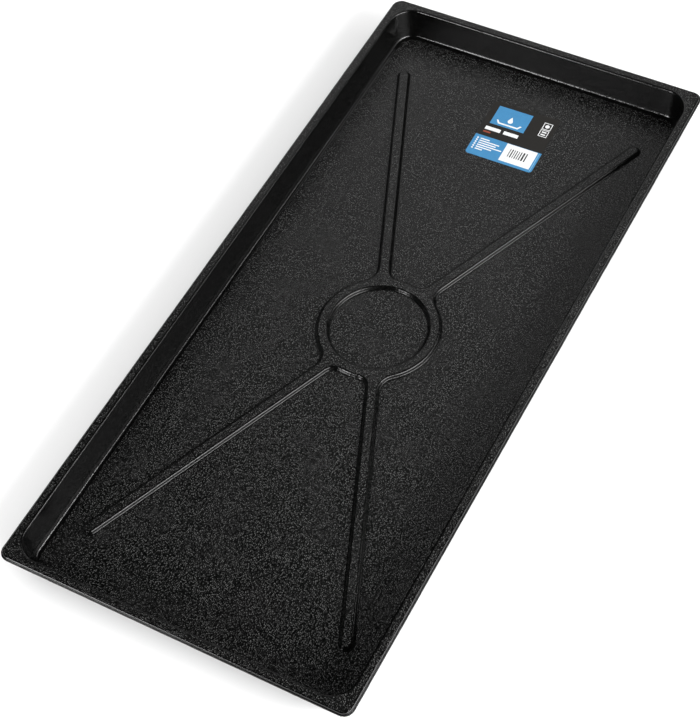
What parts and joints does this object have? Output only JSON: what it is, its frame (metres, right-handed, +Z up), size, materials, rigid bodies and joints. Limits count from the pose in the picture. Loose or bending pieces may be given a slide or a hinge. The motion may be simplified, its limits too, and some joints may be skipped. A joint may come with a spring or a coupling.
{
  "type": "drip tray",
  "caption": "Shallow rectangular drip tray in black textured plastic, with a flat rim, sloped walls and a raised ring-and-spoke bead on its floor.",
  "frame": {"origin": "middle of the underside of the floor, the face the tray rests on", "axes": "+Y along the tray towards the end with the label, +X across the tray, +Z up out of the basin"},
  "size_m": [0.5, 1.088, 0.052],
  "materials": {
    "tray_plastic": "black, pebble-grained, semi-gloss",
    "label_print": "printed film, dark ground with blue and white panels"
  },
  "bodies": {
    "root": {"tray_shell": "tray_plastic", "product_label": "label_print"}
  },
  "joints": []
}
